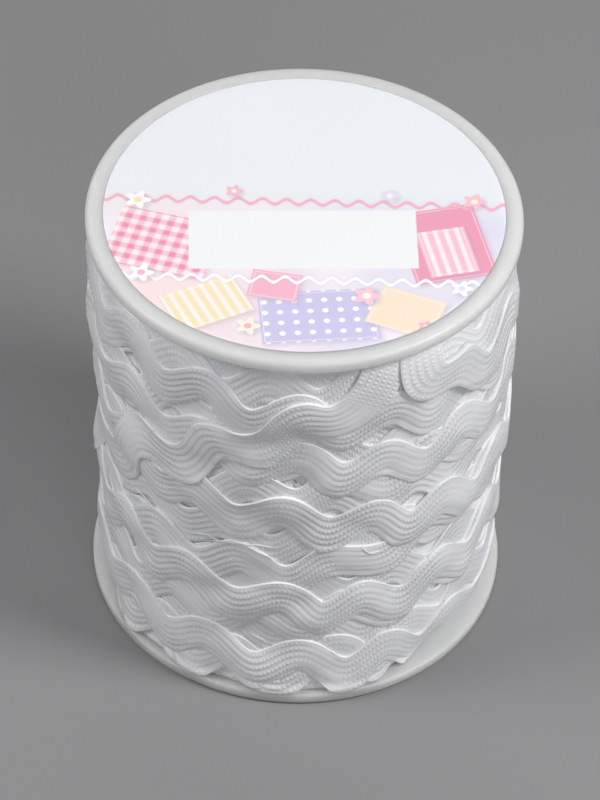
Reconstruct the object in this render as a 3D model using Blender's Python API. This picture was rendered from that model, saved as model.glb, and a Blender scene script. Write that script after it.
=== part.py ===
"""Roll of ric rac trimming on a plastic spool that stands on its lower flange.

Four bodies are built: two flanges, the wound trimming and the paper label.
Sizes are in millimetres and are scaled to metres when the meshes are made.
The origin is the centre of the base on the floor, +Z is up and angle 0 faces -Y.
"""
import math

import bpy
import numpy as np

MM = 0.001

# Spool
SPOOL_R = 40.0
SPOOL_H = 91.7
FLANGE_T = 2.6
RECESS_R = 37.2
RECESS_DEPTH = 1.0
FLANGE_SIDES = 72

# Label
LABEL_R = 36.8
LABEL_T = 0.5
LABEL_GAP = 0.3
LABEL_BEVEL = 0.12

# Trimming
BAND_W = 8.7
BAND_T = 0.72
SWING = 2.6
LEAN = 0.25
LAY_R = 39.3
FILL_R = 37.8
MAX_R = 39.85
WIND_BOTTOM = FLANGE_T + 0.35
WIND_TOP = SPOOL_H - FLANGE_T - 0.35

# Winding mesh
COLUMNS = 120
EDGE_STEP = 0.3
MIN_ROW = 0.42

# Relief map of the winding, cells of angle and height
CELL_DEG = 0.5
CELL_MM = 0.5

# Routes of the trimming round the spool. Each row is a point of the band's middle line:
# turn, angle in degrees, height in mm, crests of the wave counted so far.
INNER_ROUTE = [
    (0, -180, 9.5, -7.9),
    (0, -53, 10.0, -2.5),
    (0, -29, 9.3, -1.5),
    (0, -5, 9.0, -0.5),
    (0, 12, 10.7, 0),
    (0, 24, 10.4, 0.5),
    (0, 35, 12.0, 1),
    (0, 180, 17.0, 6.5),
    (1, -90, 20.0, 10),
    (1, 0, 22.5, 13.4),
    (1, 90, 26.0, 16.9),
    (1, 180, 29.5, 20.4),
    (2, -90, 32.5, 24.1),
    (2, -45, 34.0, 25.9),
    (2, -15.6, 35.3, 27),
    (2, 10.3, 35.6, 28),
    (2, 26, 39.0, 28.5),
    (2, 90, 44.0, 31),
    (2, 180, 49.0, 34.5),
    (3, -90, 52.0, 38),
    (3, 0, 56.0, 41.5),
    (3, 26, 58.0, 42.5),
    (3, 180, 64.0, 48.4),
    (4, -90, 68.0, 52),
    (4, 0, 75.0, 55.4),
    (4, 90, 80.0, 58.8),
    (4, 180, 81.0, 62.3),
    (5, -90, 82.0, 65.8),
    (5, 0, 82.0, 69.3),
    (5, 90, 82.0, 72.8),
]
OUTER_ROUTE = [
    (0, 170, 7.9, -3.5),
    (0, 80, 8.2, 0),
    (0, 50, 8.2, 1),
    (0, 27.3, 9.0, 2),
    (0, 2.3, 10.0, 3),
    (0, -25, 11.2, 4),
    (0, -52, 12.6, 5),
    (0, -110, 16.0, 7.2),
    (1, 180, 20.5, 10),
    (1, 110, 24.0, 12.5),
    (1, 44.3, 25.0, 15),
    (1, 19, 24.6, 16),
    (1, -3.6, 26.2, 17),
    (1, -32, 28.2, 18),
    (1, -56, 29.5, 19),
    (1, -110, 33.5, 21.1),
    (2, 180, 37.5, 23.8),
    (2, 110, 42.0, 26.5),
    (2, 44.3, 43.8, 29),
    (2, 21.3, 46.2, 30),
    (2, -3.5, 49.4, 31),
    (2, -29, 50.5, 32),
    (2, -56, 52.5, 33.1),
    (2, -110, 55.0, 35.2),
    (3, 180, 57.0, 38),
    (3, 110, 59.5, 40.7),
    (3, 49.7, 60.8, 43),
    (3, 24.2, 61.0, 44),
    (3, 0, 63.8, 45),
    (3, -26.5, 65.3, 46),
    (3, -52, 66.6, 47),
    (3, -110, 69.5, 49.2),
    (4, 180, 71.5, 52),
    (4, 110, 73.0, 54.8),
    (4, 52, 72.0, 57),
    (4, 26, 73.5, 58),
    (4, 0, 75.8, 59),
    (4, -26, 77.8, 60),
    (4, -52, 79.8, 61),
    (4, -110, 81.0, 63.2),
    (5, 180, 80.5, 66),
    (5, 120, 78.0, 68.3),
]
CROSS_ROUTE = [
    (5, 120, 78.0, 68.3),
    (5, 70, 75.5, 70.1),
    (5, 56, 76.3, 70.6),
    (5, 45, 78.6, 71.05),
    (5, 37, 83.5, 71.5),
    (5, 34, 91.0, 71.75),
    (5, 26, 97.0, 72),
    (5, 20, 92.0, 72.2),
    (5, 15, 81.5, 72.45),
    (5, 4, 77.2, 72.9),
    (5, -5, 73.6, 73.25),
    (5, -14, 69.2, 73.6),
    (5, -24, 64.3, 74.1),
    (5, -37, 59.5, 74.6),
    (5, -50, 54.5, 75.1),
    (5, -64, 46.0, 75.6),
    (5, -80, 40.5, 76.2),
    (5, -120, 35.5, 77.8),
    (6, 180, 32.0, 80.1),
    (6, 145, 30.5, 81.5),
]


def clear_scene():
    """Remove every object that the file opened with."""
    for obj in list(bpy.data.objects):
        bpy.data.objects.remove(obj, do_unlink=True)


def make_material(name, colour, roughness):
    """A Principled material with one colour and roughness."""
    material = bpy.data.materials.new(name)
    material.use_nodes = True
    shader = material.node_tree.nodes["Principled BSDF"]
    shader.inputs["Base Color"].default_value = (*colour, 1.0)
    shader.inputs["Roughness"].default_value = roughness
    shader.inputs["Metallic"].default_value = 0.0
    material.diffuse_color = (*colour, 1.0)
    return material


def make_object(name, points, faces, material, parent, base_mm=0.0):
    """A mesh object from points in mm, with its origin raised to base_mm."""
    mesh = bpy.data.meshes.new(name)
    mesh.from_pydata([(x * MM, y * MM, z * MM) for x, y, z in points], [], faces)
    mesh.update()
    obj = bpy.data.objects.new(name, mesh)
    bpy.context.collection.objects.link(obj)
    mesh.materials.append(material)
    obj.parent = parent
    obj.location = (0.0, 0.0, base_mm * MM)
    return obj


def lathe(profile, sides):
    """Turn (radius, height) points about +Z, from the axis below to the axis above."""
    points = [(0.0, 0.0, profile[0][1])]
    for radius, height in profile[1:-1]:
        for side in range(sides):
            turn = 2.0 * math.pi * side / sides
            points.append((radius * math.sin(turn), -radius * math.cos(turn), height))
    points.append((0.0, 0.0, profile[-1][1]))
    rings = len(profile) - 2
    last = len(points) - 1
    faces = []
    for side in range(sides):
        after = (side + 1) % sides
        faces.append((0, 1 + after, 1 + side))
        for ring in range(rings - 1):
            low = 1 + ring * sides
            high = low + sides
            faces.append((low + side, low + after, high + after, high + side))
        top = 1 + (rings - 1) * sides
        faces.append((top + side, top + after, last))
    return points, faces


def flange_profile():
    """Half section of the lower flange: recess, rim and rounded outer edge."""
    return [
        (0.0, RECESS_DEPTH),
        (RECESS_R, RECESS_DEPTH),
        (RECESS_R, 0.2),
        (RECESS_R + 0.2, 0.0),
        (SPOOL_R - 1.1, 0.0),
        (SPOOL_R - 0.55, 0.15),
        (SPOOL_R - 0.15, 0.5),
        (SPOOL_R, 1.0),
        (SPOOL_R, FLANGE_T - 1.0),
        (SPOOL_R - 0.15, FLANGE_T - 0.5),
        (SPOOL_R - 0.55, FLANGE_T - 0.15),
        (SPOOL_R - 1.1, FLANGE_T),
        (0.0, FLANGE_T),
    ]


def label_profile():
    """Half section of the paper disc, with its edges eased."""
    return [
        (0.0, 0.0),
        (LABEL_R - LABEL_BEVEL, 0.0),
        (LABEL_R, LABEL_BEVEL),
        (LABEL_R, LABEL_T - LABEL_BEVEL),
        (LABEL_R - LABEL_BEVEL, LABEL_T),
        (0.0, LABEL_T),
    ]


def curve_through(knots, values, wanted):
    """Cubic curve through uneven knots."""
    slopes = np.gradient(values, knots)
    i = np.clip(np.searchsorted(knots, wanted) - 1, 0, len(knots) - 2)
    gap = knots[i + 1] - knots[i]
    s = (wanted - knots[i]) / gap
    start = (2 * s**3 - 3 * s**2 + 1) * values[i] + (s**3 - 2 * s**2 + s) * gap * slopes[i]
    end = (-2 * s**3 + 3 * s**2) * values[i + 1] + (s**3 - s**2) * gap * slopes[i + 1]
    return start + end


def middle_line(route, step):
    """Distance round the spool, height and crest count along a route."""
    rows = np.array(route, dtype=float)
    way = 1.0 if rows[1, 1] > rows[0, 1] else -1.0
    round_mm = np.radians(rows[:, 1] + way * 360.0 * rows[:, 0]) * LAY_R
    lengths = np.hypot(np.diff(round_mm), np.diff(rows[:, 2]))
    knots = np.concatenate([[0.0], np.cumsum(lengths)])
    wanted = np.arange(0.0, knots[-1], step)
    columns = (round_mm, rows[:, 2], rows[:, 3])
    return [curve_through(knots, column, wanted) for column in columns]


def unit_normals(x, z, side):
    """Unit normals of a line on the unrolled spool."""
    dx = np.gradient(x)
    dz = np.gradient(z)
    length = np.hypot(dx, dz)
    return -side * dz / length, side * dx / length


def band_points(route, step, across):
    """Unrolled points of the waving band, one row per step and one column per place across."""
    x, z, crests = middle_line(route, step)
    side = 1.0 if x[-1] > x[0] else -1.0
    nx, nz = unit_normals(x, z, side)
    swing = SWING * np.cos(2.0 * np.pi * crests)
    cx = x + swing * nx
    cz = z + swing * nz
    wx, wz = unit_normals(cx, cz, side)
    lx = (1.0 - LEAN) * nx + LEAN * wx
    lz = (1.0 - LEAN) * nz + LEAN * wz
    length = np.hypot(lx, lz)
    offset = np.asarray(across)[None, :] * BAND_W / 2.0
    return cx[:, None] + offset * (lx / length)[:, None], cz[:, None] + offset * (lz / length)[:, None]


def blur(grid, angle_cells, height_cells):
    """Box average of the relief map, wrapped round the spool."""
    out = np.zeros_like(grid)
    for shift in range(-angle_cells, angle_cells + 1):
        out += np.roll(grid, shift, axis=0)
    out /= 2 * angle_cells + 1
    padded = np.pad(out, ((0, 0), (height_cells, height_cells)), mode="edge")
    total = np.zeros_like(grid)
    for shift in range(2 * height_cells + 1):
        total += padded[:, shift:shift + grid.shape[1]]
    return total / (2 * height_cells + 1)


def cells(grid, x, z):
    """Map cells under unrolled points."""
    angles = int(round(360.0 / CELL_DEG))
    i = np.round(np.degrees(x / LAY_R) / CELL_DEG).astype(int) % angles
    j = np.clip(np.round(z / CELL_MM).astype(int), 0, grid.shape[1] - 1)
    return i, j


def lay_band(grid, route):
    """Drape one route over the relief map and add its thickness."""
    across = np.linspace(-1.0, 1.0, 27)
    x, z = band_points(route, 0.3, across)
    i, j = cells(grid, x, z)
    rest = blur(grid, 6, 4)[i, j]
    crown = BAND_T * (1.0 - 0.25 * across[None, :] ** 2)
    height = np.minimum(rest + crown, MAX_R)
    height = np.where((z > 0.0) & (z < SPOOL_H), height, 0.0)
    out = grid.copy()
    np.maximum.at(out, (i.ravel(), j.ravel()), height.ravel())
    return out


def relief_map():
    """Radius of the winding's surface over angle and height."""
    angles = int(round(360.0 / CELL_DEG))
    heights = int(round(SPOOL_H / CELL_MM)) + 1
    angle = np.arange(angles)[:, None] * CELL_DEG
    height = np.arange(heights)[None, :] * CELL_MM
    waves = 0.25 * np.sin(np.radians(5.0 * angle) + 0.16 * height) * np.sin(0.21 * height + 1.0)
    thin = np.clip((angle - 24.0) / 22.0, 0.0, 1.0) * np.clip((305.0 - angle) / 35.0, 0.0, 1.0)
    low_end = (3.6 * thin - 0.9) * np.clip(1.0 - (height - WIND_BOTTOM) / 7.0, 0.0, 1.0)
    top_end = 0.8 * np.exp(-(WIND_TOP - height) / 1.6)
    grid = FILL_R + waves - low_end - np.minimum(top_end, 0.8)
    grid = lay_band(grid, INNER_ROUTE)
    grid = lay_band(grid, OUTER_ROUTE)
    return lay_band(grid, CROSS_ROUTE)


def edge_heights(turn_angles):
    """Lower and upper edge of the outer band at angles counted on through the turns."""
    lead_in = [(-1, 180, -12.0, -17.5), (-1, 0, -5.0, -10.5)]
    lead_out = [(5, 55, 84.0, 70.7), (5, 0, 92.0, 72.8), (5, -180, 104.0, 80), (6, 0, 116.0, 87)]
    x, z = band_points(lead_in + OUTER_ROUTE + lead_out, EDGE_STEP, [-1.0, 1.0])
    wanted = np.radians(turn_angles) * LAY_R
    edges = []
    for edge in range(2):
        order = np.argsort(x[:, edge], kind="stable")
        edges.append(np.interp(wanted, x[order, edge], z[order, edge]))
    return edges


def column_rows(angle):
    """Heights of one column's points, eight for each turn of the outer band."""
    turn_angles = angle - 360.0 * np.arange(-1, 7)
    low, high = edge_heights(turn_angles)
    rows = []
    for turn in range(len(turn_angles) - 1):
        foot = low[turn]
        head = high[turn]
        room = max(low[turn + 1] - head, 0.0)
        rows += [foot - 0.35, foot + 0.15, (foot + head) / 2.0, head - 0.15, head + 0.35]
        rows += [head + room * part for part in (0.28, 0.5, 0.72)]
    return np.clip(rows, WIND_BOTTOM, WIND_TOP)


def winding_mesh():
    """One closed solid with the fill, the bands and their crossings as relief."""
    grid = relief_map()
    points = []
    columns = []
    for column in range(COLUMNS):
        angle = 180.0 - 360.0 * column / COLUMNS
        turn = math.radians(angle)
        line = []
        last = -1.0
        for height in column_rows(angle):
            if WIND_TOP - height < MIN_ROW:
                height = WIND_TOP
            if height - last >= MIN_ROW:
                i, j = cells(grid, np.array([turn * LAY_R]), np.array([height]))
                radius = float(grid[i, j][0])
                points.append((radius * math.sin(turn), -radius * math.cos(turn), height))
                last = height
            line.append(len(points) - 1)
        columns.append(line)
    faces = []
    foot = len(points)
    points.append((0.0, 0.0, WIND_BOTTOM))
    points.append((0.0, 0.0, WIND_TOP))
    for column in range(COLUMNS):
        left = columns[column]
        right = list(columns[(column + 1) % COLUMNS])
        if column == COLUMNS - 1:
            left = [left[0]] * 8 + left
            right = right + [right[-1]] * 8
        for row in range(len(left) - 1):
            loop = [left[row], left[row + 1], right[row + 1], right[row]]
            face = [p for n, p in enumerate(loop) if p != loop[n - 1]]
            if len(face) > 2:
                faces.append(tuple(face))
        faces.append((left[0], right[0], foot))
        faces.append((right[-1], left[-1], foot + 1))
    return points, faces


def build():
    """Make the four bodies under one empty."""
    clear_scene()
    root = bpy.data.objects.new("ric_rac_roll", None)
    bpy.context.collection.objects.link(root)
    plastic = make_material("spool_plastic", (0.82, 0.84, 0.82), 0.38)
    trimming = make_material("ric_rac", (0.84, 0.85, 0.86), 0.5)
    paper = make_material("label_paper", (0.86, 0.86, 0.9), 0.6)
    points, faces = lathe(flange_profile(), FLANGE_SIDES)
    make_object("flange_bottom", points, faces, plastic, root)
    top = make_object("flange_top", points, faces, plastic, root, SPOOL_H)
    top.rotation_euler = (math.pi, 0.0, 0.0)
    points, faces = winding_mesh()
    make_object("winding", points, faces, trimming, root)
    points, faces = lathe(label_profile(), FLANGE_SIDES)
    make_object("label", points, faces, paper, root, SPOOL_H - RECESS_DEPTH + LABEL_GAP)


build()
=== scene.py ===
"""Looks of the roll of ric rac: draped bands, spool flanges, label, floor, lights and camera."""
import math

import bpy
import numpy as np
from mathutils import Matrix


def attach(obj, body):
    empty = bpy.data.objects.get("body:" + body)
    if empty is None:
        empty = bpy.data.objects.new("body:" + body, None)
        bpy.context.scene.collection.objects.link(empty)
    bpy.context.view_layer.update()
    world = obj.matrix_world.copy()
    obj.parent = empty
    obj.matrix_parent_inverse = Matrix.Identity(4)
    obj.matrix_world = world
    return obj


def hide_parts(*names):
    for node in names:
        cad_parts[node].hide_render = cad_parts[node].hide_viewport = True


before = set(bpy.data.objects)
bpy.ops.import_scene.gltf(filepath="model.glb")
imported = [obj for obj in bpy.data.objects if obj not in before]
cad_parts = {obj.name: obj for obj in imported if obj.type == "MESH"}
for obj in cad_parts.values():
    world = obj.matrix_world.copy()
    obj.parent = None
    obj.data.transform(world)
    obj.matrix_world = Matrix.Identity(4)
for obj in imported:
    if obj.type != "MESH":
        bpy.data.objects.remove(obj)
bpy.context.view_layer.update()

MM = 0.001

# Spool and label, millimetres
SPOOL_R = 40.0
SPOOL_H = 91.7
FLANGE_T = 2.6
RECESS_R = 36.8
RECESS_DEPTH = 1.0
LABEL_R = 36.75
LABEL_T = 0.5
LABEL_GAP = 0.3

# Sides of a turned piece
TURNED_SIDES = 224

# Trimming, millimetres apart from the count of ribs
BAND_W = 8.7
BAND_T = 0.62
RIBS = 6
RIB_DEPTH = 0.02
DOT_PITCH = 0.88
SWING = 2.6  # of the wave, to each side of the middle line
LEAN = 0.25  # how far the band's width turns with its wave, 0 to 1
ROUNDING = 1.0  # length over which the wave's corners are rounded
SAG_MAX = 0.85  # of an edge that nothing holds up
WALL_MAX = 0.9  # reach of an edge down to the turn below
SINK = 0.03  # depth an edge may lie over a turn before it sags
TURNED_OVER = 73.9  # crest of a route from which the band's other face shows
UV_UNIT = 10.0  # length of band in one unit of the weave's u

# Winding, millimetres
LAY_R = 39.3
FILL_R = 37.3
MAX_R = 40.1
WIND_BOTTOM = FLANGE_T + 0.1
WIND_TOP = SPOOL_H - FLANGE_T - 0.3

# Waves of the pattern round the innermost drum
DRUM_WAVES = 14.0

# Relief map that the bands are draped over, cells of angle and height
CELL_DEG = 0.5
CELL_MM = 0.4

# Routes of the trimming round the spool. Each row is a point of the band's middle line:
# turn, angle in degrees, height in mm, crests of the wave counted so far.
DEEP_ROUTE = [
    (0, 180, 7.0, 0),
    (0, 0, 9.0, 7.2),
    (1, 180, 13.0, 14.1),
    (1, 0, 19.0, 21.3),
    (2, 180, 25.0, 28.0),
    (2, 0, 31.0, 35.1),
    (3, 180, 37.0, 42.0),
    (3, 0, 42.5, 49.2),
    (4, 180, 48.0, 56.1),
    (4, 0, 54.0, 63.4),
    (5, 180, 60.0, 70.2),
    (5, 0, 66.0, 77.3),
    (6, 180, 72.0, 84.1),
    (6, 0, 77.5, 91.0),
    (7, 180, 81.5, 98.0),
    (7, 0, 84.5, 105.0),
    (8, 180, 85.0, 112.0),
]
INNER_ROUTE = [
    (0, -180, 9.5, -7.9),
    (0, -53, 10.0, -2.5),
    (0, -29, 9.3, -1.5),
    (0, -5, 9.0, -0.5),
    (0, 12, 10.7, 0),
    (0, 24, 10.4, 0.5),
    (0, 35, 12.0, 1),
    (0, 180, 17.0, 6.5),
    (1, -90, 20.0, 10),
    (1, 0, 22.5, 13.4),
    (1, 90, 26.0, 16.9),
    (1, 180, 29.5, 20.4),
    (2, -90, 32.5, 24.1),
    (2, -45, 34.0, 25.9),
    (2, -15.6, 35.3, 27),
    (2, 10.3, 35.6, 28),
    (2, 26, 39.0, 28.5),
    (2, 90, 44.0, 31),
    (2, 180, 49.0, 34.5),
    (3, -90, 52.0, 38),
    (3, 0, 56.0, 41.5),
    (3, 26, 58.0, 42.5),
    (3, 180, 64.0, 48.4),
    (4, -90, 68.0, 52),
    (4, 0, 75.0, 55.4),
    (4, 90, 80.0, 58.8),
    (4, 180, 81.0, 62.3),
    (5, -90, 82.0, 65.8),
    (5, 0, 82.0, 69.3),
    (5, 90, 82.0, 72.8),
]
OUTER_ROUTE = [
    (0, 170, 7.9, -3.5),
    (0, 80, 8.2, 0),
    (0, 50, 8.2, 1),
    (0, 27.3, 9.0, 2),
    (0, 2.3, 10.0, 3),
    (0, -25, 11.2, 4),
    (0, -52, 12.6, 5),
    (0, -110, 16.0, 7.2),
    (1, 180, 20.5, 10),
    (1, 110, 24.0, 12.5),
    (1, 44.3, 25.0, 15),
    (1, 19, 24.6, 16),
    (1, -3.6, 26.2, 17),
    (1, -32, 28.2, 18),
    (1, -56, 29.5, 19),
    (1, -110, 33.5, 21.1),
    (2, 180, 37.5, 23.8),
    (2, 110, 42.0, 26.5),
    (2, 44.3, 43.8, 29),
    (2, 21.3, 46.2, 30),
    (2, -3.5, 49.4, 31),
    (2, -29, 50.5, 32),
    (2, -56, 52.5, 33.1),
    (2, -110, 55.0, 35.2),
    (3, 180, 57.0, 38),
    (3, 110, 59.5, 40.7),
    (3, 49.7, 60.8, 43),
    (3, 24.2, 61.0, 44),
    (3, 0, 63.8, 45),
    (3, -26.5, 65.3, 46),
    (3, -52, 66.6, 47),
    (3, -110, 69.5, 49.2),
    (4, 180, 71.5, 52),
    (4, 110, 73.0, 54.8),
    (4, 52, 72.0, 57),
    (4, 26, 73.5, 58),
    (4, 0, 75.8, 59),
    (4, -26, 77.8, 60),
    (4, -52, 79.8, 61),
    (4, -110, 81.0, 63.2),
    (5, 180, 80.5, 66),
    (5, 120, 78.0, 68.3),
    (5, 70, 75.5, 70.1),
    (5, 56, 75.9, 70.6),
    (5, 45, 77.9, 71.05),
    (5, 37.5, 83.0, 71.5),
    (5, 35, 91.0, 71.75),
    (5, 33, 97.0, 72),
    (5, 29, 94.5, 72.15),
    (5, 17.5, 84.6, 72.45),
    (5, 9.5, 76.8, 72.75),
    (5, -4, 73.0, 73.25),
    (5, -14, 69.2, 73.6),
    (5, -24, 64.3, 74.1),
    (5, -37, 59.5, 74.6),
    (5, -50, 54.5, 75.1),
    (5, -64, 46.0, 75.6),
    (5, -80, 40.5, 76.2),
    (5, -120, 35.5, 77.8),
    (6, 180, 32.0, 80.1),
    (6, 145, 30.5, 81.5),
]

# Places along the outer and the deep route where the trimming is stretched flat, so that its beads
# show on the whole wave: crest, half length in crests, rise above the turns beside it in mm.
STRETCHED = [
    (71.25, 0.75, 0.55),
    (72.35, 0.30, 0.0),
]

# Raised selvages of twisted turns that show between the outer turns: angle and height of each point
LOOSE_EDGES = [
    [(-67.6, 36.1), (-61.8, 34.7), (-55.6, 35.0), (-49.2, 32.9)],
    [(-54.0, 41.1), (-46.7, 40.9), (-40.4, 40.5), (-34.7, 38.8), (-31.2, 37.4)],
    [(-45.1, 40.3), (-37.5, 40.5), (-32.9, 37.4), (-26.1, 37.1)],
    [(-30.7, 39.4), (-25.3, 41.1), (-21.3, 40.9), (-15.1, 41.7), (-9.1, 39.9), (-3.3, 38.0)],
    [(-27.7, 38.7), (-18.2, 41.7), (-10.7, 42.2), (-4.8, 41.5)],
    [(-12.5, 16.9), (-9.8, 16.0), (-7.2, 14.7)],
    [(17.8, 41.3), (21.8, 38.9), (25.7, 39.7)],
    [(128.0, 30.0), (140.0, 32.5), (151.0, 31.0), (163.0, 33.0)],
    [(-150.0, 47.0), (-138.0, 45.0), (-129.0, 47.5), (-118.0, 46.0)],
]

# Fibres: points along each, sides round it, and half its thickness in mm
FIBRE_POINTS = 7
FIBRE_SIDES = 4
FIBRE_R = 0.04

# Soft edge of the print on the label, millimetres
PRINT_SOFT = 0.12

# Camera fitted to the photograph: focal length and frame height in pixels, place in metres, angles
# in radians, sensor height in mm
FOCAL_PX = 4011.8
FRAME_PX = 800.0
SENSOR = 36.0
CAMERA_PLACE = (0.000098, -0.539625, 0.586007)
CAMERA_DOWN = 0.789
CAMERA_ROLL = 0.027


# Meshes

def grid_mesh(name, points, flip, uv=None, bead=None):
    """A closed mesh from rings of points in mm, with a flat cap at each end."""
    rows, count = points.shape[:2]
    i = np.arange(rows - 1)[:, None]
    j = np.arange(count)[None, :]
    after = (j + 1) % count
    here = i * count
    beyond = (i + 1) * count
    quads = np.stack([here + j, beyond + j, beyond + after, here + after], axis=-1).reshape(-1, 4)
    if flip:
        quads = quads[:, ::-1]
    start = np.arange(count)
    end = (rows - 1) * count + start[::-1]
    caps = [start[::-1], end[::-1]] if flip else [start, end]
    loops = np.concatenate([quads.ravel()] + caps).astype(np.int32)
    sizes = np.concatenate([np.full(len(quads), 4), [count] * len(caps)]).astype(np.int32)
    mesh = bpy.data.meshes.new(name)
    mesh.vertices.add(rows * count)
    mesh.vertices.foreach_set("co", (points.reshape(-1, 3) * MM).astype(np.float32).ravel())
    mesh.loops.add(len(loops))
    mesh.loops.foreach_set("vertex_index", loops)
    mesh.polygons.add(len(sizes))
    starts = np.concatenate([[0], np.cumsum(sizes)[:-1]]).astype(np.int32)
    mesh.polygons.foreach_set("loop_start", starts)
    mesh.polygons.foreach_set("loop_total", sizes)
    mesh.polygons.foreach_set("use_smooth", np.arange(len(sizes)) < len(quads))
    mesh.update(calc_edges=True)
    if uv is not None:
        layer = mesh.uv_layers.new(name="weave")
        layer.data.foreach_set("uv", uv.reshape(-1, 2)[loops].astype(np.float32).ravel())
    if bead is not None:
        layer = mesh.attributes.new("bead", "FLOAT", "POINT")
        layer.data.foreach_set("value", bead.astype(np.float32).ravel())
    mesh.validate()
    obj = bpy.data.objects.new(name, mesh)
    bpy.context.collection.objects.link(obj)
    return obj


def turned(name, profile, base, upside_down=False):
    """A turned piece from (radius, height) points, with its height 0 at base; all in mm."""
    turn = np.linspace(0.0, 2.0 * np.pi, TURNED_SIDES, endpoint=False)
    radius = np.array([r for r, h in profile])
    height = np.array([h for r, h in profile])
    if upside_down:
        height = -height
    points = np.stack([
        radius[:, None] * np.sin(turn)[None, :],
        -radius[:, None] * np.cos(turn)[None, :],
        np.repeat(height[:, None] + base, TURNED_SIDES, axis=1),
    ], axis=-1)
    return grid_mesh(name, points, upside_down)


def arc(centre_r, centre_h, radius, start, end, steps):
    """Points of a round corner in a profile, angles in degrees from straight out."""
    angles = np.radians(np.linspace(start, end, steps))
    return [(centre_r + radius * math.cos(a), centre_h + radius * math.sin(a)) for a in angles]


# Routes and draping

def curve_through(knots, values, wanted):
    """Cubic curve through uneven knots."""
    slopes = np.gradient(values, knots)
    i = np.clip(np.searchsorted(knots, wanted) - 1, 0, len(knots) - 2)
    gap = knots[i + 1] - knots[i]
    s = (wanted - knots[i]) / gap
    start = (2 * s**3 - 3 * s**2 + 1) * values[i] + (s**3 - 2 * s**2 + s) * gap * slopes[i]
    end = (-2 * s**3 + 3 * s**2) * values[i + 1] + (s**3 - s**2) * gap * slopes[i + 1]
    return start + end


def rising(value, start, length):
    """0 up to start, 1 from start + length on, straight between them."""
    return np.clip((value - start) / length, 0.0, 1.0)


def falling(value, end, length):
    """1 up to end - length, 0 from end on, straight between them."""
    return np.clip((end - value) / length, 0.0, 1.0)


def middle_line(route, step):
    """Distance round the spool, height and crest count along a route."""
    rows = np.array(route, dtype=float)
    way = 1.0 if rows[1, 1] > rows[0, 1] else -1.0
    round_mm = np.radians(rows[:, 1] + way * 360.0 * rows[:, 0]) * LAY_R
    lengths = np.hypot(np.diff(round_mm), np.diff(rows[:, 2]))
    knots = np.concatenate([[0.0], np.cumsum(lengths)])
    wanted = np.arange(0.0, knots[-1], step)
    columns = (round_mm, rows[:, 2], rows[:, 3])
    return [curve_through(knots, column, wanted) for column in columns]


def unit_normals(x, z, side):
    """Unit normals of a line on the unrolled spool."""
    dx = np.gradient(x)
    dz = np.gradient(z)
    length = np.hypot(dx, dz)
    return -side * dz / length, side * dx / length


def smooth_along(values, reach):
    """Moving average down the first axis."""
    pad = [(reach + 1, reach)] + [(0, 0)] * (values.ndim - 1)
    total = np.cumsum(np.pad(values, pad, mode="edge"), axis=0)
    return (total[2 * reach + 1:] - total[:-2 * reach - 1]) / (2 * reach + 1)


def wander(seed, count, reach, size):
    """Slow random drift along a band."""
    values = np.random.default_rng(seed).normal(size=count)
    values = smooth_along(smooth_along(values, reach), reach)
    return size * values / max(values.std(), 1e-6)


def blur(grid, angle_cells, height_cells):
    """Box average of the relief map, wrapped round the spool."""
    out = sum(np.roll(grid, shift, axis=0) for shift in range(-angle_cells, angle_cells + 1))
    out = out / (2 * angle_cells + 1)
    padded = np.pad(out, ((0, 0), (height_cells, height_cells)), mode="edge")
    parts = [padded[:, shift:shift + grid.shape[1]] for shift in range(2 * height_cells + 1)]
    return sum(parts) / (2 * height_cells + 1)


def spread(grid, angle_cells, height_cells):
    """Highest value near each cell of the relief map."""
    out = grid.copy()
    for shift in range(-angle_cells, angle_cells + 1):
        out = np.maximum(out, np.roll(grid, shift, axis=0))
    for shift in range(1, height_cells + 1):
        out[:, shift:] = np.maximum(out[:, shift:], out[:, :-shift])
        out[:, :-shift] = np.maximum(out[:, :-shift], out[:, shift:])
    return out


def sample(grid, x, z):
    """Relief map between its cells, at unrolled points."""
    angles = grid.shape[0]
    fi = np.degrees(x / LAY_R) / CELL_DEG
    fj = np.clip(z / CELL_MM, 0.0, grid.shape[1] - 1.001)
    i = np.floor(fi).astype(int)
    j = np.floor(fj).astype(int)
    s = fi - i
    t = fj - j
    i0 = i % angles
    i1 = (i + 1) % angles
    low = (1 - s) * grid[i0, j] + s * grid[i1, j]
    high = (1 - s) * grid[i0, j + 1] + s * grid[i1, j + 1]
    return (1 - t) * low + t * high


def stretched_rows(crests, places):
    """How far each row of a band is stretched flat, 0 to 1, and how far it rises for that in mm."""
    flat = np.zeros(len(crests))
    rise = np.zeros(len(crests))
    for crest, reach, height in places:
        near_crest = np.clip(1.8 * (1.0 - np.abs(crests - crest) / reach), 0.0, 1.0)
        flat = np.maximum(flat, near_crest)
        rise = np.maximum(rise, height * near_crest)
    return flat, rise


def bead_rows(crests, flat, turned_over, drift):
    """How plainly the beads show on each row of a band: on one slope of the wave, and where flat."""
    phase = np.where(turned_over, -crests, crests) % 1.0
    bead = np.clip(0.5 + 0.62 * np.sin(2.0 * np.pi * phase), 0.0, 1.0)
    return np.clip(np.maximum(bead, flat) + drift, 0.0, 1.0)


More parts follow.
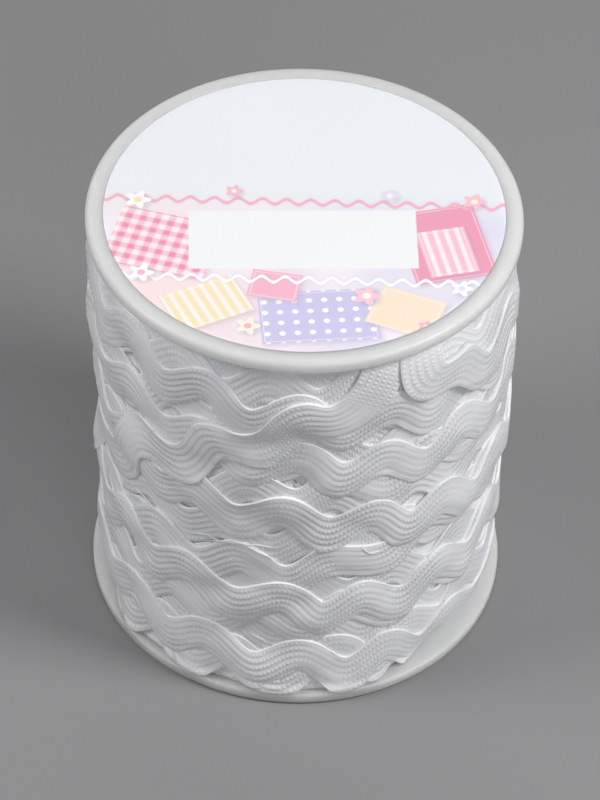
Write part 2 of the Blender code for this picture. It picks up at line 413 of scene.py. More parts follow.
def lay_band(grid, route, step, per_rib, seed, face_out):
    """Drape a route over the relief map, add it there, and return the band's rows.

    A band with face_out shows its first face, up to TURNED_OVER, and may be stretched flat.
    """
    x, z, crests = middle_line(route, step)
    side = 1.0 if x[-1] > x[0] else -1.0
    nx, nz = unit_normals(x, z, side)
    swing = (SWING + wander(seed, len(x), int(18 / step), 0.12)) * np.cos(2.0 * np.pi * crests)
    cx = x + swing * nx
    cz = z + swing * nz
    wx, wz = unit_normals(cx, cz, side)
    lx = (1.0 - LEAN) * nx + LEAN * wx
    lz = (1.0 - LEAN) * nz + LEAN * wz
    length = np.hypot(lx, lz)
    lx, lz = lx / length, lz / length
    across = np.linspace(-1.0, 1.0, RIBS * per_rib + 1)
    half = BAND_W / 2.0 * (1.0 + wander(seed + 1, len(x), int(12 / step), 0.012))
    ease = int(ROUNDING / step)
    px = smooth_along(cx[:, None] + (half * lx)[:, None] * across[None, :], ease)
    pz = smooth_along(cz[:, None] + (half * lz)[:, None] * across[None, :], ease)
    flat, rise = stretched_rows(crests, STRETCHED if face_out else [])
    rise = smooth_along(rise, int(1.5 / step))
    hang = falling(across, -0.35, 0.65) + 0.4 * rising(across, 0.6, 0.4)
    rest = np.zeros_like(px)
    gap = np.zeros_like(px)
    # The band is laid a twelfth of a turn at a time, and each piece joins the map five pieces later,
    # so that the band rests on its earlier turns and not on itself
    chunk = int(2.0 * np.pi * LAY_R / step / 12.0)
    waiting = []
    for start in range(0, len(x), chunk):
        rows = slice(start, min(start + chunk, len(x)))
        while len(waiting) > 5:
            raise_map(grid, *waiting.pop(0))
        lo = max(rows.start - chunk // 2, 0)
        hi = min(rows.stop + chunk // 2, len(x))
        soft = blur(spread(grid, 1, 1), 5, 4)
        under = sample(soft, px[lo:hi], pz[lo:hi])
        near = sample(blur(grid, 1, 1), px[lo:hi], pz[lo:hi])
        sag = np.clip(under - near - SINK, 0.0, SAG_MAX) * hang[None, :] * (1.0 - flat[lo:hi, None])
        under = smooth_along(under, int(1.6 / step)) - smooth_along(sag, int(0.9 / step))
        under = under + rise[lo:hi, None]
        rest[rows] = under[rows.start - lo:rows.stop - lo]
        gap[rows] = np.clip(under - near, 0.0, WALL_MAX)[rows.start - lo:rows.stop - lo]
        thick = BAND_T * (1.0 - 0.2 * across[None, :] ** 2)
        waiting.append((px[rows], pz[rows], rest[rows] + thick))
    for item in waiting:
        raise_map(grid, *item)
    turned_over = (crests > TURNED_OVER) | (not face_out)
    drift = wander(seed + 2, len(x), int(10 / step), 0.12)
    return {
        "x": px,
        "z": pz,
        "rest": rest,
        "gap": smooth_along(gap, 2),
        "across": across,
        "bead": bead_rows(crests, flat, turned_over, drift),
        "length": np.concatenate([[0.0], np.cumsum(np.hypot(np.diff(cx), np.diff(cz)))]),
        "side": side,
        "lift": wander(seed + 3, len(x), int(7 / step), 0.09),
    }


def raise_map(grid, x, z, height):
    """Raise the relief map to a band's surface."""
    i = np.round(np.degrees(x / LAY_R) / CELL_DEG).astype(int) % grid.shape[0]
    j = np.clip(np.round(z / CELL_MM).astype(int), 0, grid.shape[1] - 1)
    height = np.where((z > 0.0) & (z < SPOOL_H), np.minimum(height, MAX_R), 0.0)
    np.maximum.at(grid, (i.ravel(), j.ravel()), height.ravel())


def tuck(z, radius):
    """Bend what would pass a flange inwards along it."""
    top_room = 1.1
    low_room = 0.2
    over = np.maximum(z - (WIND_TOP - 1.2), 0.0)
    under = np.maximum(WIND_BOTTOM + low_room - z, 0.0)
    z = z - over + top_room * np.tanh(over / top_room) + under - low_room * np.tanh(under / low_room)
    return z, radius - np.minimum(0.55 * over, 5.0) - np.minimum(0.12 * under, 2.0)


def flare(band, top, cap):
    """Top row with its lowest edges on the front spread over the flange, and nothing past cap."""
    angle = np.degrees(band["x"] / LAY_R) % 360.0
    front = rising(np.abs(angle - 170.0), 119.0, 34.0)
    low = falling(np.maximum(band["z"], WIND_BOTTOM), 5.2, 2.4)
    return np.minimum(top + 1.3 * front * low ** 1.5, cap)


def hidden_row(band, top, grid):
    """The row near a band's middle that later turns cover best, behind the spool."""
    count = len(top)
    rows = np.arange(int(0.43 * count), int(0.57 * count))
    above = sample(grid, band["x"][rows], band["z"][rows]) - top[rows]
    cover = np.clip(above, 0.0, 0.4).mean(axis=1)
    behind = np.cos(band["x"][rows].mean(axis=1) / LAY_R) < 0.0
    return rows[np.argmax(cover + 0.2 * behind)]


def band_pieces(name, band, parts, flip, cap, grid):
    """Closed ribbon meshes of one band, in one or two parts."""
    across = band["across"]
    ribs = np.abs(np.sin(np.pi * RIBS * (across + 1.0) / 2.0)) ** 0.7
    lift = (0.03 + band["lift"])[:, None] * np.abs(across[None, :]) ** 3
    selvage = np.exp(-((1.0 - np.abs(across)) / 0.05) ** 2)
    top = band["rest"] + BAND_T + RIB_DEPTH * (ribs - 1.0)[None, :] - 0.1 * across[None, :] ** 2
    top = top + lift + 0.1 * selvage[None, :]
    top = flare(band, top, cap)
    # The underside, from the last point of the top row back to the first: the point of the top row
    # above each, the width there, the depth in thicknesses, and the share of the gap that it fills
    count = len(across)
    above = np.array([count - 1, count - 1, int(count * 0.66), int(count * 0.33), 0, 0])
    stretch = np.array([1.012, 0.985, 1.0, 1.0, 0.985, 1.012])
    depth = np.array([0.5, 0.96, 0.9, 0.9, 0.96, 0.5]) * BAND_T
    walls = np.array([0.0, 1.0, 0.3, 0.3, 1.0, 0.0])
    centre_x = band["x"].mean(axis=1, keepdims=True)
    centre_z = band["z"].mean(axis=1, keepdims=True)
    under_x = centre_x + (band["x"][:, above] - centre_x) * stretch
    under_z = centre_z + (band["z"][:, above] - centre_z) * stretch
    under_r = top[:, above] - depth - walls * band["gap"][:, above]
    x = np.concatenate([band["x"], under_x], axis=1)
    z = np.concatenate([band["z"], under_z], axis=1)
    radius = np.concatenate([top, under_r], axis=1)
    z, radius = tuck(z, radius)
    turn = x / LAY_R
    points = np.stack([radius * np.sin(turn), -radius * np.cos(turn), z], axis=-1)
    v = np.concatenate([(across + 1.0) / 2.0, (across[above] + 1.0) / 2.0])
    uv = np.stack([np.repeat(band["length"][:, None] / UV_UNIT, len(v), axis=1),
                   np.repeat(v[None, :], len(points), axis=0)], axis=-1)
    bead = np.repeat(band["bead"][:, None], len(v), axis=1)
    pieces = []
    cuts = [0, len(points) - 1]
    if parts == 2:
        cuts.insert(1, hidden_row(band, top, grid))
    for part in range(parts):
        rows = slice(cuts[part], cuts[part + 1] + 1)
        title = name if parts == 1 else f"{name}_{part + 1}"
        pieces.append(grid_mesh(title, points[rows], flip, uv[rows], bead[rows]))
    return pieces


def loose_edge(name, places, grid, seed):
    """A thin tapered tube along points given by angle and height, resting on the bands below."""
    rows = np.array(places)
    knots = np.arange(len(rows), dtype=float)
    wanted = np.linspace(0.0, len(rows) - 1.0, 24 * (len(rows) - 1))
    angle = np.radians(curve_through(knots, rows[:, 0], wanted))
    height = curve_through(knots, rows[:, 1], wanted) + wander(seed, len(wanted), 6, 0.12)
    rest = sample(blur(spread(grid, 1, 1), 3, 3), angle * LAY_R, height)
    ends = np.minimum(wanted, wanted[::-1])
    thick = 0.12 * np.clip(ends / 0.5, 0.25, 1.0)
    radius = smooth_along(rest, 8) + 0.1 + 0.12 * np.sin(np.pi * wanted / wanted[-1])
    ring = np.linspace(0.0, 2.0 * np.pi, 8, endpoint=False)
    out = radius[:, None] + thick[:, None] * np.cos(ring)[None, :]
    up = height[:, None] + thick[:, None] * np.sin(ring)[None, :]
    turn = np.repeat(angle[:, None], len(ring), axis=1)
    points = np.stack([out * np.sin(turn), -out * np.cos(turn), up], axis=-1)
    u = np.repeat(wanted[:, None], len(ring), axis=1)
    # v of 0.99 puts the weave's painted edge highlight on the whole tube
    uv = np.stack([u, np.full(u.shape, 0.99)], axis=-1)
    return grid_mesh(name, points, angle[-1] < angle[0], uv, np.zeros(uv.shape[:2]))


def fibres(name, band, count, seed):
    """Short loose fibres that stand off the selvages, all in one mesh."""
    rng = np.random.default_rng(seed)
    edge = np.where(rng.random(count) < 0.5, 0, band["x"].shape[1] - 1)
    row = rng.integers(20, len(band["x"]) - 20, count)
    inside = (band["z"][row, edge] > WIND_BOTTOM + 2.5) & (band["z"][row, edge] < WIND_TOP - 2.5)
    row, edge = row[inside], edge[inside]
    along = np.linspace(0.0, 1.0, FIBRE_POINTS)[None, :]
    heading = rng.uniform(0.0, 2.0 * np.pi, len(row))[:, None]
    heading = heading + rng.uniform(-1.2, 1.2, len(row))[:, None] * along
    stride = rng.uniform(0.6, 1.9, len(row))[:, None] * along
    rise = rng.uniform(0.15, 0.6, len(row))[:, None]
    thick = FIBRE_R * (1.0 - 0.55 * along) * np.ones_like(stride)
    out = band["rest"][row, edge][:, None] + BAND_T - 0.1 + rise * np.sin(2.4 * along)
    around = band["x"][row, edge][:, None] + stride * np.cos(heading)
    up = band["z"][row, edge][:, None] + stride * np.sin(heading)
    ring = np.linspace(0.0, 2.0 * np.pi, FIBRE_SIDES, endpoint=False)
    turn = np.repeat((around / LAY_R)[..., None], FIBRE_SIDES, axis=2)
    radius = out[..., None] + thick[..., None] * np.cos(ring)
    height = up[..., None] + thick[..., None] * np.sin(ring)
    points = np.stack([radius * np.sin(turn), -radius * np.cos(turn), height], axis=-1)
    mesh = bpy.data.meshes.new(name)
    fibre = np.arange(len(row))[:, None, None] * FIBRE_POINTS * FIBRE_SIDES
    at = fibre + np.arange(FIBRE_POINTS - 1)[None, :, None] * FIBRE_SIDES
    beyond = at + FIBRE_SIDES
    side = np.arange(FIBRE_SIDES)[None, None, :]
    after = (side + 1) % FIBRE_SIDES
    quads = np.stack([at + side, beyond + side, beyond + after, at + after], axis=-1)
    mesh.from_pydata((points.reshape(-1, 3) * MM).tolist(), [], quads.reshape(-1, 4).tolist())
    mesh.polygons.foreach_set("use_smooth", np.ones(len(mesh.polygons), dtype=bool))
    mesh.uv_layers.new(name="weave")
    mesh.attributes.new("bead", "FLOAT", "POINT")
    obj = bpy.data.objects.new(name, mesh)
    bpy.context.collection.objects.link(obj)
    return obj


def first_relief():
    """Relief of the turns that lie too deep to be modelled one by one."""
    angles = int(round(360.0 / CELL_DEG))
    heights = int(round(SPOOL_H / CELL_MM)) + 1
    angle = np.arange(angles)[:, None] * CELL_DEG
    height = np.arange(heights)[None, :] * CELL_MM
    waves = 0.2 * np.sin(np.radians(5.0 * angle) + 0.16 * height) * np.sin(0.21 * height + 1.0)
    # Slimmer at the foot but fuller there in front, a little slimmer at the top, fuller on the right
    # and high on the left
    slim = rising(angle, 24.0, 22.0) * falling(angle, 305.0, 35.0)
    foot = (3.6 * slim - 1.7 * (1.0 - slim)) * falling(height, WIND_BOTTOM + 6.0, 6.0)
    top = np.minimum(0.8 * np.exp(-(WIND_TOP - height) / 1.6), 0.8)
    right = np.exp(-((angle - 84.0) / 36.0) ** 2)
    right = right * rising(height, 26.0, 18.0) * falling(height, 80.0, 9.0)
    left = np.exp(-((angle - 276.0) / 28.0) ** 2)
    left = left * rising(height, 57.0, 10.0) * falling(height, 84.0, 8.0)
    return FILL_R + waves + 1.5 * right + 1.2 * left - foot - top


def fill_piece(grid, start):
    """The turns below the modelled ones, as one drum just under them with a wavy pattern."""
    soft = np.minimum(blur(blur(grid, 5, 5), 5, 5) - 0.42, start + 2.1)
    turn = np.radians(np.arange(0, 360, 1.2))
    heights = np.linspace(WIND_BOTTOM + 0.1, WIND_TOP - 0.1, 110)
    up = np.repeat(heights[:, None], len(turn), axis=1)
    radius = sample(soft, (turn * LAY_R)[None, :], up)
    points = np.stack([radius * np.sin(turn), -radius * np.cos(turn), up], axis=-1)
    v = (heights[:, None] + SWING * np.sin(DRUM_WAVES * turn)[None, :]) / BAND_W
    u = np.repeat((turn * LAY_R / UV_UNIT)[None, :], len(heights), axis=0)
    bead = 0.5 + 0.5 * np.repeat(np.cos(DRUM_WAVES * turn)[None, :], len(heights), axis=0)
    return grid_mesh("inner_turns", points, False, np.stack([u, v], axis=-1), bead)


# Materials

class Nodes:
    """Short names for making shader nodes."""

    def __init__(self, name):
        self.material = bpy.data.materials.new(name)
        self.material.use_nodes = True
        self.tree = self.material.node_tree
        self.shader = self.tree.nodes["Principled BSDF"]

    def add(self, kind, **settings):
        """A new node with its settings."""
        node = self.tree.nodes.new(kind)
        for key, value in settings.items():
            setattr(node, key, value)
        return node

    def link(self, source, target):
        """Join two sockets, or set the target's value."""
        if isinstance(source, (int, float)):
            target.default_value = source
        elif isinstance(source, tuple):
            opaque = len(source) == 3 and target.type == "RGBA"
            target.default_value = (*source, 1.0) if opaque else source
        else:
            self.tree.links.new(source, target)

    def math(self, operation, a, b=0.0, c=0.0):
        """A math node's result."""
        node = self.add("ShaderNodeMath", operation=operation)
        for socket, value in zip(node.inputs, (a, b, c)):
            self.link(value, socket)
        return node.outputs[0]

    def times(self, a, b):
        """a times b."""
        return self.math("MULTIPLY", a, b)

    def minus(self, a, b):
        """a minus b."""
        return self.math("SUBTRACT", a, b)

    def scaled(self, a, b, c):
        """a times b, plus c."""
        return self.math("MULTIPLY_ADD", a, b, c)

    def size(self, a):
        """a without its sign."""
        return self.math("ABSOLUTE", a)

    def mix(self, factor, a, b):
        """One colour mixed into another."""
        node = self.add("ShaderNodeMix", data_type="RGBA")
        self.link(factor, node.inputs[0])
        self.link(a, node.inputs[6])
        self.link(b, node.inputs[7])
        return node.outputs[2]

    def noise(self, scale, vector=None, detail=2.0, stretch=None):
        """A noise pattern's value."""
        node = self.add("ShaderNodeTexNoise")
        node.inputs["Scale"].default_value = scale
        node.inputs["Detail"].default_value = detail
        if stretch is not None:
            mapping = self.add("ShaderNodeMapping")
            mapping.inputs["Scale"].default_value = stretch
            self.link(vector, mapping.inputs["Vector"])
            vector = mapping.outputs["Vector"]
        if vector is not None:
            self.link(vector, node.inputs["Vector"])
        return node.outputs["Fac"]

    def ramp(self, value, low, high):
        """The value scaled from low..high to 0..1, held at its ends."""
        node = self.add("ShaderNodeMapRange", interpolation_type="SMOOTHSTEP")
        self.link(value, node.inputs["Value"])
        node.inputs["From Min"].default_value = low
        node.inputs["From Max"].default_value = high
        return node.outputs["Result"]

    def bump(self, height, distance, strength=1.0):
        """Bump on the shader's normal; distance in metres."""
        node = self.add("ShaderNodeBump")
        node.inputs["Distance"].default_value = distance
        node.inputs["Strength"].default_value = strength
        self.link(height, node.inputs["Height"])
        self.link(node.outputs["Normal"], self.shader.inputs["Normal"])

    def set(self, **values):
        """Uniform values on the shader's own sockets."""
        for key, value in values.items():
            self.shader.inputs[key.replace("_", " ")].default_value = value


def trimming_material(name, tint):
    """White satin polyester: cord ribs along the band and beads of weave on one slope, with painted
    highlights on rib tops, beads and edges, and painted shade in the grooves and between the beads.
    """
    n = Nodes(name)
    uv = n.add("ShaderNodeUVMap", uv_map="weave").outputs["UV"]
    split = n.add("ShaderNodeSeparateXYZ")
    n.link(uv, split.inputs[0])
    u, v = split.outputs[0], split.outputs[1]
    bead = n.add("ShaderNodeAttribute", attribute_name="bead").outputs["Fac"]
    rib = n.size(n.math("SINE", n.times(v, math.pi * RIBS)))
    ridge = n.ramp(rib, 0.68, 1.0)
    knot = n.size(n.math("SINE", n.times(n.times(u, UV_UNIT / DOT_PITCH), math.pi)))
    dot = n.times(n.ramp(rib, 0.58, 0.97), n.ramp(knot, 0.55, 0.97))
    thread = n.noise(1.0, uv, 3.0, (14.0, 70.0, 1.0))
    twist = n.noise(1.0, uv, 2.0, (60.0, 30.0, 1.0))
    calm = n.ramp(n.noise(1.0, uv, 1.0, (0.8, 0.7, 1.0)), 0.38, 0.64)
    bead = n.times(bead, n.scaled(calm, 0.35, 0.75))
    plain = n.times(n.math("POWER", rib, 1.2), n.scaled(calm, 0.54, 0.1))
    height = n.scaled(n.times(dot, bead), 1.15, plain)
    height = n.scaled(thread, 0.2, height)
    height = n.scaled(twist, 0.08, height)
    n.bump(height, 0.00012, 1.0)
    # Painted highlight along the edges of each band
    edge = n.ramp(n.size(n.minus(n.math("FRACT", v), 0.5)), 0.478, 0.49)
    # Painted shade in the grooves between the ribs
    groove_shade = n.times(n.minus(1.0, ridge), n.scaled(calm, 0.18, 0.03))
    # Painted shade between the beads where they show
    between = n.times(n.times(n.minus(1.0, dot), bead), 0.3)
    # Painted highlight along the tops of the ribs, where no beads show
    shine = n.times(ridge, n.scaled(calm, 0.65, 0.15))
    shine = n.times(shine, n.minus(1.0, bead))
    painted_shade = tuple(c * 0.68 for c in tint)
    ridge_highlight_white = (0.96, 0.96, 0.97)
    bead_glint_white = (0.99, 0.99, 0.99)
    thread_white = (0.97, 0.975, 0.98)
    edge_highlight_white = (0.98, 0.985, 0.99)
    # Painted shade in the grooves and between the beads, mixed towards the darker tint
    body = n.mix(n.math("MAXIMUM", groove_shade, between), tint, painted_shade)
    body = n.mix(shine, body, ridge_highlight_white)
    # Painted glint on each bead
    body = n.mix(n.times(n.times(dot, bead), 0.97), body, bead_glint_white)
    body = n.mix(n.times(n.ramp(thread, 0.35, 0.7), 0.12), body, thread_white)
    body = n.mix(n.times(edge, 0.5), body, edge_highlight_white)
    n.link(body, n.shader.inputs["Base Color"])
    n.link(n.scaled(thread, 0.2, 0.34), n.shader.inputs["Roughness"])
    n.set(Specular_IOR_Level=0.6, Sheen_Weight=0.15, Sheen_Roughness=0.4, Subsurface_Weight=0.2,
          Subsurface_Scale=0.0012)
    n.shader.inputs["Subsurface Radius"].default_value = (1.0, 1.0, 1.0)
    return n.material


def plastic_material():
    """Milky polypropylene that lets some light through, with faint moulding marks."""
    n = Nodes("milky_plastic")
    where = n.add("ShaderNodeTexCoord").outputs["Object"]
    cloud = n.noise(60.0, where, 3.0)
    grain = n.noise(900.0, where, 2.0)
    scuff = n.noise(1.0, where, 3.0, (500.0, 160.0, 900.0))
    base = n.mix(n.ramp(cloud, 0.3, 0.7), (0.84, 0.85, 0.84), (0.88, 0.886, 0.876))
    n.link(base, n.shader.inputs["Base Color"])
    n.link(n.scaled(scuff, 0.22, 0.26), n.shader.inputs["Roughness"])
    n.bump(n.scaled(grain, 0.4, cloud), 0.00004, 0.6)
    n.set(Subsurface_Weight=0.9, Subsurface_Scale=0.011, Specular_IOR_Level=0.45)
    n.shader.inputs["Subsurface Radius"].default_value = (1.0, 1.0, 1.0)
    return n.material


def label_material():
    """Printed paper disc: bare pale upper half, bare panel, and a lower half of simple shapes."""
    n = Nodes("printed_paper")
    where = n.add("ShaderNodeTexCoord").outputs["Object"]
    split = n.add("ShaderNodeSeparateXYZ")
    n.link(where, split.inputs[0])
    x = n.times(split.outputs[0], 1000.0)
    y = n.times(split.outputs[1], 1000.0)

    def turned_xy(cx, cy, degrees):
        """Place from a centre, along axes turned by some degrees."""
        a = math.radians(degrees)
        dx = n.minus(x, cx)
        dy = n.minus(y, cy)
        rx = n.scaled(dx, math.cos(a), n.times(dy, math.sin(a)))
        ry = n.scaled(dy, math.cos(a), n.times(dx, -math.sin(a)))
        return rx, ry

    def inside(distance, soft=PRINT_SOFT):
        """1 where a distance is below zero, with a soft edge."""
        return n.minus(1.0, n.ramp(distance, -soft, soft))

    def box_mask(cx, cy, width, height, degrees=0.0, soft=PRINT_SOFT):
        """1 inside a turned rectangle."""
        rx, ry = turned_xy(cx, cy, degrees)
        dx = n.minus(n.size(rx), width / 2.0)
        dy = n.minus(n.size(ry), height / 2.0)
        return inside(n.math("MAXIMUM", dx, dy), soft)

    def disc_distance(cx, cy):
        """Distance from a centre."""
        dx = n.minus(x, cx)
        dy = n.minus(y, cy)
        return n.math("SQRT", n.scaled(dx, dx, n.times(dy, dy)))

    def disc_mask(cx, cy, radius, soft=PRINT_SOFT):
        """1 inside a disc."""
        return inside(n.minus(disc_distance(cx, cy), radius), soft)

    def repeat(value, period):
        """Place within each period, from -0.5 to 0.5 of it."""
        return n.minus(n.math("FRACT", n.math("DIVIDE", value, period)), 0.5)

    def flower_mask(cx, cy, radius):
        """1 inside a flower of five petals."""
        dx = n.minus(x, cx)
        dy = n.minus(y, cy)
        petals = n.math("COSINE", n.times(n.math("ARCTAN2", dy, dx), 5.0))
        outline = n.scaled(petals, 0.22 * radius, 0.78 * radius)
        return inside(n.minus(disc_distance(cx, cy), outline))

    white = (0.97, 0.96, 0.975)
    shadow = (0.42, 0.34, 0.44)
    flower_shadow = (0.40, 0.34, 0.40)
    shadow_share = 0.35
    check_pitch = 2.6
    stripe_pitch = 2.0
    spot_pitch = 2.7
    colour = n.mix(n.noise(40.0, where, 2.0), (0.80, 0.825, 0.87), (0.84, 0.86, 0.895))
    print_base = n.mix(n.ramp(x, -26.0, 22.0), (0.94, 0.76, 0.77), (0.74, 0.72, 0.87))
    print_base = n.mix(n.ramp(n.noise(55.0, where, 1.0), 0.4, 0.7), print_base, (0.90, 0.83, 0.91))
    colour = n.mix(n.minus(1.0, n.ramp(y, -6.0, 7.0)), colour, print_base)
    # centre x, centre y, width, height, turn in degrees, pattern, colour
    patches = [
        (-25.5, -9.5, 19.0, 15.0, -14.0, "check", (0.88, 0.30, 0.45)),
        (25.5, -8.0, 15.0, 19.0, 14.0, "plain", (0.86, 0.35, 0.49)),
        (26.0, -10.0, 9.0, 12.0, 14.0, "stripe", (0.92, 0.55, 0.66)),
        (3.0, -27.5, 21.0, 13.0, 6.0, "dots", (0.62, 0.58, 0.83)),
        (-17.0, -25.0, 14.0, 10.0, 27.0, "stripe", (0.94, 0.78, 0.52)),
        (18.5, -26.0, 12.0, 10.0, -21.0, "plain", (0.96, 0.78, 0.62)),
        (-5.0, -20.0, 9.0, 7.0, -9.0, "plain", (0.91, 0.48, 0.60)),
    ]
    for cx, cy, width, height, degrees, pattern, tint in patches:
        shade = n.times(box_mask(cx + 0.5, cy - 0.6, width, height, degrees, 0.9), shadow_share)
        colour = n.mix(shade, colour, shadow)
        rx, ry = turned_xy(cx, cy, degrees)
        cloth = tint
        if pattern == "check":
            bars_x = inside(n.minus(n.size(repeat(rx, check_pitch)), 0.25))
            bars_y = inside(n.minus(n.size(repeat(ry, check_pitch)), 0.25))
            bars = n.math("ADD", bars_x, bars_y)
            cloth = n.mix(n.times(bars, 0.42), tint, white)
        if pattern == "stripe":
            bars = inside(n.minus(n.size(repeat(rx, stripe_pitch)), 0.22))
            cloth = n.mix(n.times(bars, 0.7), tint, white)
        if pattern == "dots":
            sx, sy = repeat(rx, spot_pitch), repeat(ry, spot_pitch)
            away = n.math("SQRT", n.scaled(sx, sx, n.times(sy, sy)))
            cloth = n.mix(inside(n.minus(away, 0.21), 0.04), tint, white)
        colour = n.mix(box_mask(cx, cy, width, height, degrees), colour, cloth)
        hem = n.minus(box_mask(cx, cy, width - 0.8, height - 0.8, degrees, 0.06),
                     box_mask(cx, cy, width - 1.2, height - 1.2, degrees, 0.06))
        colour = n.mix(n.times(hem, 0.5), colour, white)
    # wavy line: centre y, height of the wave, wavelength, half width, colour
    waves = [
        (2.2, 0.7, 4.4, 0.42, (0.90, 0.45, 0.57)),
        (-18.4, 0.75, 4.2, 0.42, (0.96, 0.96, 0.98)),
    ]
    for level, size, pitch, half, tint in waves:
        swing = n.times(n.math("SINE", n.times(x, 2.0 * math.pi / pitch)), size)
        gap = n.size(n.minus(n.minus(y, level), swing))
        colour = n.mix(n.times(n.ramp(gap, 1.3, 0.3), 0.12), colour, shadow)
        colour = n.mix(inside(n.minus(gap, half)), colour, tint)
    # centre x, centre y, radius, petals, centre
    flowers = [
        (-30.5, 1.8, 2.5, (0.95, 0.93, 0.96), (0.95, 0.78, 0.45)),
        (-13.0, 4.8, 1.7, (0.90, 0.50, 0.62), (0.97, 0.90, 0.75)),
        (15.5, 4.6, 1.9, (0.78, 0.72, 0.90), (0.97, 0.92, 0.70)),
        (31.0, 3.6, 2.2, (0.92, 0.55, 0.66), (0.97, 0.88, 0.60)),
        (-29.0, -17.5, 2.4, (0.97, 0.95, 0.97), (0.92, 0.50, 0.62)),
        (-9.5, -30.5, 2.3, (0.97, 0.88, 0.78), (0.90, 0.50, 0.60)),
        (11.5, -22.0, 2.6, (0.94, 0.60, 0.70), (0.98, 0.92, 0.78)),
        (28.5, -19.5, 2.1, (0.96, 0.95, 0.98), (0.80, 0.74, 0.90)),
        (22.0, -29.5, 1.5, (0.90, 0.48, 0.60), (0.98, 0.93, 0.80)),
    ]
    for cx, cy, radius, tint, heart in flowers:
        shade = n.times(disc_mask(cx + 0.35, cy - 0.45, radius * 0.9, 0.7), shadow_share)
        colour = n.mix(shade, colour, flower_shadow)
        colour = n.mix(flower_mask(cx, cy, radius), colour, tint)
        colour = n.mix(disc_mask(cx, cy, radius * 0.3), colour, heart)
    panel = box_mask(-0.15, -7.7, 41.4, 15.4, 2.3)
    colour = n.mix(panel, colour, (0.885, 0.89, 0.905))
    n.link(colour, n.shader.inputs["Base Color"])
    fibre = n.noise(1400.0, where, 3.0)
    n.link(n.scaled(fibre, 0.15, 0.42), n.shader.inputs["Roughness"])
    n.bump(fibre, 0.00002, 0.5)
    n.set(Specular_IOR_Level=0.4)
    return n.material


def floor_material():
    """Plain pale matt ground."""
    n = Nodes("pale_ground")
    n.link((0.272, 0.272, 0.276), n.shader.inputs["Base Color"])
    n.set(Roughness=0.9, Specular_IOR_Level=0.1)
    return n.material


# Build

def dress(piece, material):
    """Give a piece its material and set it under the root body."""
    piece.data.materials.append(material)
    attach(piece, "root")
    return piece


def build_winding():
    """All bands, deepest first, each draped over those before it."""
    grid = first_relief()
    # The second copy is the same trimming made a little darker: painted shade on the deepest turns
    # and the drum beneath them
    near = trimming_material("ric_rac_satin", (0.88, 0.884, 0.925))
    deep = trimming_material("ric_rac_inner_shaded", (0.86, 0.864, 0.905))
    start = grid.copy()
    pieces = []
    # name, route, step in mm, points for each rib, seed, parts, face out, greatest radius, material
    layers = [
        ("deep_turns", DEEP_ROUTE, 0.9, 4, 11, 1, True, MAX_R - 0.6, deep),
        ("inner_turns_up", INNER_ROUTE, 0.62, 6, 23, 1, False, MAX_R - 0.1, near),
        ("outer_turns", OUTER_ROUTE, 0.45, 7, 37, 2, True, MAX_R + 0.15, near),
    ]
    for name, route, step, per_rib, seed, parts, face_out, cap, material in layers:
        band = lay_band(grid, route, step, per_rib, seed, face_out)
        for piece in band_pieces(name, band, parts, band["side"] < 0, cap, grid):
            pieces.append(dress(piece, material))
    pieces.append(dress(fibres("loose_fibres", band, 420, 71), near))
    pieces.append(dress(fill_piece(grid, start), deep))
    for number, places in enumerate(LOOSE_EDGES):
        piece = loose_edge(f"loose_edge_{number + 1}", places, grid, 50 + number)
        pieces.append(dress(piece, near))
    for piece in pieces:
        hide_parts("winding")


def flange_profile():
    """Half section of a flange with eased recess and rounded rim."""
    return (
        [(0.4, RECESS_DEPTH), (20.0, RECESS_DEPTH), (RECESS_R - 0.3, RECESS_DEPTH)]
        + arc(RECESS_R - 0.3, RECESS_DEPTH - 0.3, 0.3, 90, 0, 5)
        + arc(RECESS_R + 0.2, 0.2, 0.2, 180, 270, 5)
        + [(RECESS_R + 0.9, 0.0), (RECESS_R + 1.8, 0.0)]
        + arc(SPOOL_R - 0.9, 0.9, 0.9, -90, 0, 11)
        + arc(SPOOL_R - 0.5, FLANGE_T - 0.5, 0.5, 0, 90, 9)
        + [(36.0, FLANGE_T), (20.0, FLANGE_T), (0.4, FLANGE_T)]
    )


def build_spool():
    """Both flanges, finely turned."""
    plastic = plastic_material()
    for name, base, upside_down in (("flange_bottom", 0.0, False), ("flange_top", SPOOL_H, True)):
        piece = turned(f"turned_{name}", flange_profile(), base, upside_down)
        dress(piece, plastic)
        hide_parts(name)


def build_label():
    """The paper disc with its upper edge eased."""
    profile = ([(0.2, 0.0), (30.0, 0.0), (LABEL_R - 0.05, 0.0)]
               + arc(LABEL_R - 0.08, LABEL_T - 0.08, 0.08, 0, 90, 4)
               + [(r, LABEL_T) for r in (35.0, 32.0, 26.0, 18.0, 9.0, 0.2)])
    piece = turned("paper_label", profile, SPOOL_H - RECESS_DEPTH + LABEL_GAP)
    dress(piece, label_material())
    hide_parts("label")


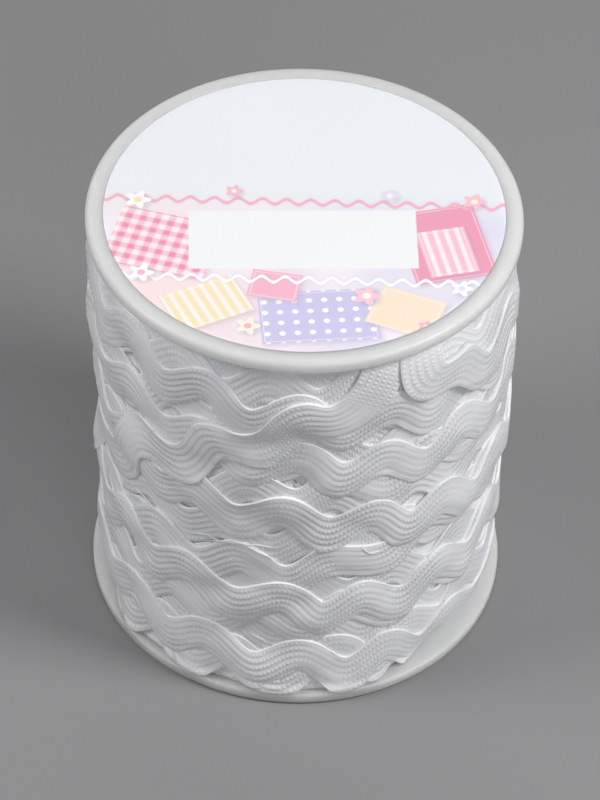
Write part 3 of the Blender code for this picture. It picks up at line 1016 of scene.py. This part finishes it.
def build_stage():
    """Floor, soft lights and the camera of the photograph."""
    mesh = bpy.data.meshes.new("floor")
    reach = 3.0
    corners = [(-reach, -reach, 0), (reach, -reach, 0), (reach, reach, 0), (-reach, reach, 0)]
    mesh.from_pydata(corners, [], [(0, 1, 2, 3)])
    floor = bpy.data.objects.new("floor", mesh)
    bpy.context.collection.objects.link(floor)
    mesh.materials.append(floor_material())
    # name, place, target, size, watts
    lights = [
        ("key_right", (0.58, -0.2, 0.7), (0.0, 0.0, 0.05), 0.3, 5.1),
        ("fill_left", (-0.62, -0.12, 0.62), (0.0, 0.0, 0.05), 0.42, 3.2),
        ("front", (0.3, -0.85, 0.6), (0.0, 0.0, 0.05), 0.5, 2.1),
        ("over_back", (0.0, 0.6, 0.8), (0.0, 0.0, 0.08), 0.8, 1.5),
    ]
    for name, place, target, width, watts in lights:
        light = bpy.data.lights.new(name, "AREA")
        light.shape = "DISK"
        light.size = width
        light.energy = watts
        obj = bpy.data.objects.new(name, light)
        bpy.context.collection.objects.link(obj)
        obj.location = place
        dx, dy, dz = (t - p for t, p in zip(target, place))
        obj.rotation_euler = (math.atan2(math.hypot(dx, dy), -dz), 0.0, math.atan2(-dx, dy))
    world = bpy.data.worlds.new("studio")
    bpy.context.scene.world = world
    world.use_nodes = True
    background = world.node_tree.nodes["Background"]
    background.inputs["Color"].default_value = (0.96, 0.965, 1.0, 1.0)
    background.inputs["Strength"].default_value = 0.09
    camera = bpy.data.cameras.new("camera")
    camera.sensor_fit = "VERTICAL"
    camera.sensor_height = SENSOR
    camera.lens = SENSOR * FOCAL_PX / FRAME_PX
    camera.clip_start = 0.01
    obj = bpy.data.objects.new("camera", camera)
    bpy.context.collection.objects.link(obj)
    obj.rotation_mode = "QUATERNION"
    pitch = Matrix.Rotation(math.pi / 2.0 - CAMERA_DOWN, 4, "X")
    roll = Matrix.Rotation(CAMERA_ROLL, 4, "Z")
    obj.matrix_world = Matrix.Translation(CAMERA_PLACE) @ pitch @ roll
    bpy.context.scene.camera = obj
    bpy.context.scene.view_settings.view_transform = "Standard"


build_winding()
build_spool()
build_label()
build_stage()
